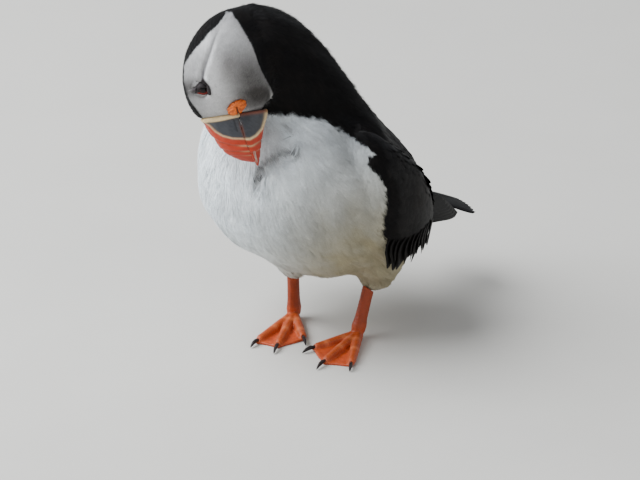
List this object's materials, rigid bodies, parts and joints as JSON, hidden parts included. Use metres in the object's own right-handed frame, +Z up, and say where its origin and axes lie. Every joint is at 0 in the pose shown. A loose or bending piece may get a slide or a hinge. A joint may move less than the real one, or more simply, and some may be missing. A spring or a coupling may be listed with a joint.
{
  "type": "atlantic puffin",
  "caption": "Life-size puffin with a deep grooved bill, standing on webbed feet with its neck curved forward and its head bowed towards its breast.",
  "frame": {"origin": "on the floor under the middle of the bird's length and width", "axes": "+Z up, -Y ahead of the bird, +X to the bird's own left"},
  "size_m": [0.105, 0.176, 0.1778],
  "materials": {
    "white_plumage": "soft white breast feathers",
    "black_plumage": "black back and wing feathers with a slight sheen",
    "face_plumage": "short pale grey face feathers, black on the crown",
    "bill_horn": "semi-gloss horn, slate grey, cream and orange-red",
    "gape_flesh": "wrinkled orange-yellow skin",
    "eye_gloss": "wet and glossy, dark brown",
    "eye_horn": "matt slate horn",
    "foot_skin": "scaled orange skin",
    "claw_horn": "semi-gloss blackish horn"
  },
  "bodies": {
    "root": {"trunk": "white_plumage", "neck": "black_plumage", "head": "face_plumage", "bill_upper": "bill_horn", "bill_lower": "bill_horn", "gape_left": "gape_flesh", "gape_right": "gape_flesh", "eye_left": "eye_gloss", "eye_right": "eye_gloss", "eye_brow_left": "eye_horn", "eye_brow_right": "eye_horn", "eye_lid_left": "eye_horn", "eye_lid_right": "eye_horn", "wing_left": "black_plumage", "wing_right": "black_plumage", "flight_left": "black_plumage", "flight_right": "black_plumage", "tail": "black_plumage", "thigh_left": "white_plumage", "thigh_right": "white_plumage", "shank_left": "foot_skin", "shank_right": "foot_skin", "foot_left": "foot_skin", "foot_right": "foot_skin", "claw_inner_left": "claw_horn", "claw_middle_left": "claw_horn", "claw_outer_left": "claw_horn", "claw_inner_right": "claw_horn", "claw_middle_right": "claw_horn", "claw_outer_right": "claw_horn"}
  },
  "joints": []
}
